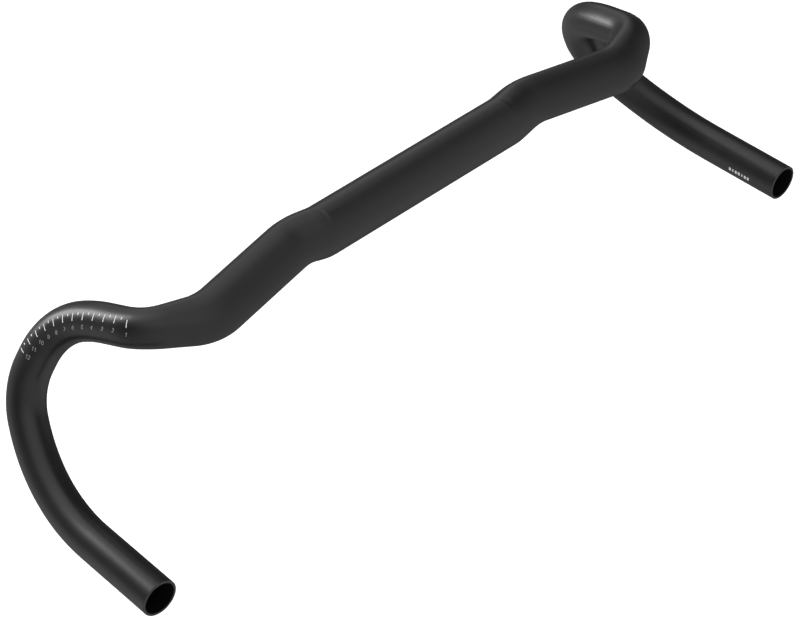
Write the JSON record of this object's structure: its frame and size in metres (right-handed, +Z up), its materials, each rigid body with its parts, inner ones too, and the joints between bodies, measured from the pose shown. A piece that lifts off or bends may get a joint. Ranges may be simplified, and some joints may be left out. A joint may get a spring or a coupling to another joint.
{
  "type": "drop handlebar",
  "caption": "Bonded drop handlebar with a round stem clamp seat, flattened swept tops, flared hooks with a printed lever scale, and open tail ends.",
  "frame": {"origin": "centre of the stem clamp seat, on its axis", "axes": "+X to the rider's right along the clamp axis, +Y forwards, +Z up, with the tails about level"},
  "size_m": [0.5648, 0.1604, 0.1413],
  "materials": {
    "satin_black_lacquer": "satin black lacquer over carbon laminate",
    "bare_laminate": "bare moulded carbon laminate",
    "epoxy_film": "cured structural epoxy",
    "white_ink": "pad-printed white ink"
  },
  "bodies": {
    "root": {"centre_beam": "satin_black_lacquer", "clamp_liner": "bare_laminate", "right_drop": "satin_black_lacquer", "left_drop": "satin_black_lacquer", "right_joint_sleeve": "bare_laminate", "left_joint_sleeve": "bare_laminate", "right_bond_film": "epoxy_film", "left_bond_film": "epoxy_film", "right_scale_ticks": "white_ink", "left_scale_ticks": "white_ink", "right_scale_half_ticks": "white_ink", "left_scale_half_ticks": "white_ink", "right_scale_numerals": "white_ink", "left_scale_numerals": "white_ink", "batch_mark": "white_ink"}
  },
  "joints": []
}
